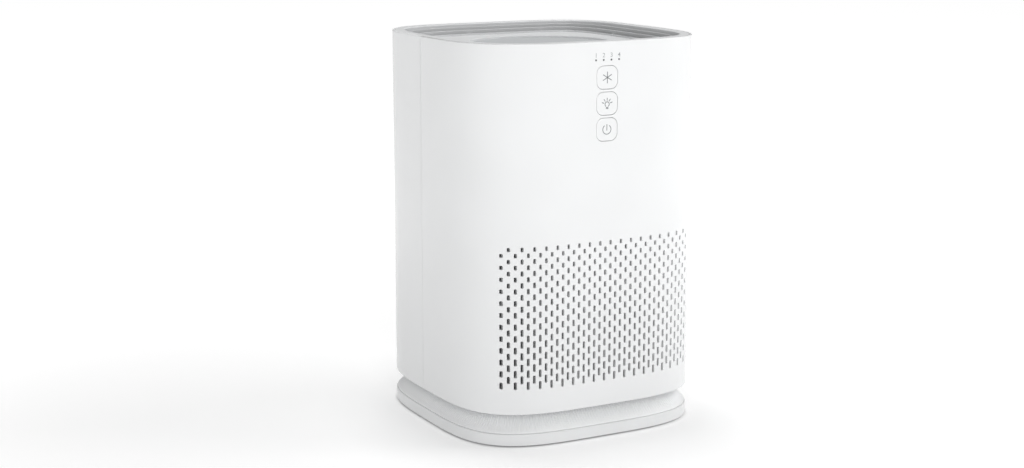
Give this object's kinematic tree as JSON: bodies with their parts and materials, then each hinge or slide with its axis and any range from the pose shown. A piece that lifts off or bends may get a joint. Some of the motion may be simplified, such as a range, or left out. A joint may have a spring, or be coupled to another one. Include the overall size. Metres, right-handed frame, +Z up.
{
  "type": "air purifier",
  "caption": "White tower air purifier with softly squared plan, perforated lower walls, round-ended keys down the front, stepped ring outlet on top and a glowing base ring.",
  "frame": {"origin": "on the floor under the middle of the body", "axes": "+Z up, the front with the keys faces -Y, +X is to the right of someone who faces the front"},
  "size_m": [0.227, 0.226, 0.335],
  "materials": {
    "casing": "smooth white ABS with a soft gloss",
    "diffuser": "frosted translucent white, finely fluted",
    "keys": "smooth white with fine grey symbols",
    "grille": "satin white",
    "disc": "fine matt light grey",
    "frame": "moulded dark grey",
    "duct": "moulded charcoal",
    "rotor": "moulded black",
    "steel": "plain zinc-plated steel",
    "motor_can": "cast and turned",
    "board": "green solder mask",
    "black_part": "moulded black",
    "rubber": "matt",
    "filter_cap": "matt moulded",
    "paper": "fine fibre web",
    "carbon_mesh": "black granules in a mesh",
    "sleeve_mesh": "fine pale nylon mesh",
    "foam": "closed-cell foam",
    "lamp_lens": "smoked light pipe"
  },
  "bodies": {
    "base": {"base_plate": "casing", "front_shell": "casing", "light_ring": "diffuser", "outlet_grille": "grille", "centre_disc": "disc", "chassis": "frame", "fan_deck": "frame", "fan_housing": "duct", "motor_pod": "duct", "motor_bearing_lower": "steel", "motor_bearing_upper": "steel", "motor_screw_1": "steel", "motor_screw_2": "steel", "motor_screw_3": "steel", "base_screw_front_left": "steel", "base_screw_front_right": "steel", "base_screw_rear_left": "steel", "base_screw_rear_right": "steel", "keeper_plate_left": "steel", "keeper_plate_right": "steel", "board_screw_left": "steel", "board_screw_right": "steel", "fan_motor": "motor_can", "led_ring_board": "board", "main_board": "board", "control_board": "board", "dc_inlet": "black_part", "interlock_switch": "black_part", "fan_switch": "black_part", "light_switch": "black_part", "power_switch": "black_part", "control_lead": "black_part", "motor_lead": "black_part", "foot_front_left": "rubber", "foot_front_right": "rubber", "foot_rear_left": "rubber", "foot_rear_right": "rubber", "speed_light_pipe_1": "lamp_lens", "speed_light_pipe_2": "lamp_lens", "speed_light_pipe_3": "lamp_lens", "speed_light_pipe_4": "lamp_lens"},
    "impeller": {"impeller": "rotor", "hub_nut": "steel", "motor_shaft": "steel"},
    "fan_button": {"fan_button": "keys"},
    "light_button": {"light_button": "keys"},
    "power_button": {"power_button": "keys"},
    "rear_cover": {"rear_cover": "casing", "cover_magnet_left": "steel", "cover_magnet_right": "steel"},
    "filter": {"filter_bottom_cap": "filter_cap", "filter_top_cap": "filter_cap", "pleated_filter": "paper", "carbon_core": "carbon_mesh", "prefilter_sleeve": "sleeve_mesh", "filter_gasket": "foam", "filter_pull_tab": "black_part"}
  },
  "joints": [
    {"name": "impeller_spin", "type": "hinge", "parent": "base", "child": "impeller", "pos_m": [0, 0, 0.2], "axis": [0, 0, 1], "continuous": true},
    {"name": "fan_button_press", "type": "slide", "parent": "base", "child": "fan_button", "axis": [0, 1, 0], "range_m": [0, 0.0008], "stiffness_N_per_m": 400, "springref_m": -0.001},
    {"name": "light_button_press", "type": "slide", "parent": "base", "child": "light_button", "axis": [0, 1, 0], "range_m": [0, 0.0008], "stiffness_N_per_m": 400, "springref_m": -0.001},
    {"name": "power_button_press", "type": "slide", "parent": "base", "child": "power_button", "axis": [0, 1, 0], "range_m": [0, 0.0008], "stiffness_N_per_m": 400, "springref_m": -0.001},
    {"name": "rear_cover_tilt", "type": "hinge", "parent": "base", "child": "rear_cover", "pos_m": [0, 0.112, 0.0286], "axis": [-1, 0, 0], "range_deg": [0, 22]},
    {"name": "filter_twist", "type": "hinge", "parent": "base", "child": "filter", "pos_m": [0, 0, 0.0316], "axis": [0, 0, 1], "range_deg": [0, 24]}
  ]
}
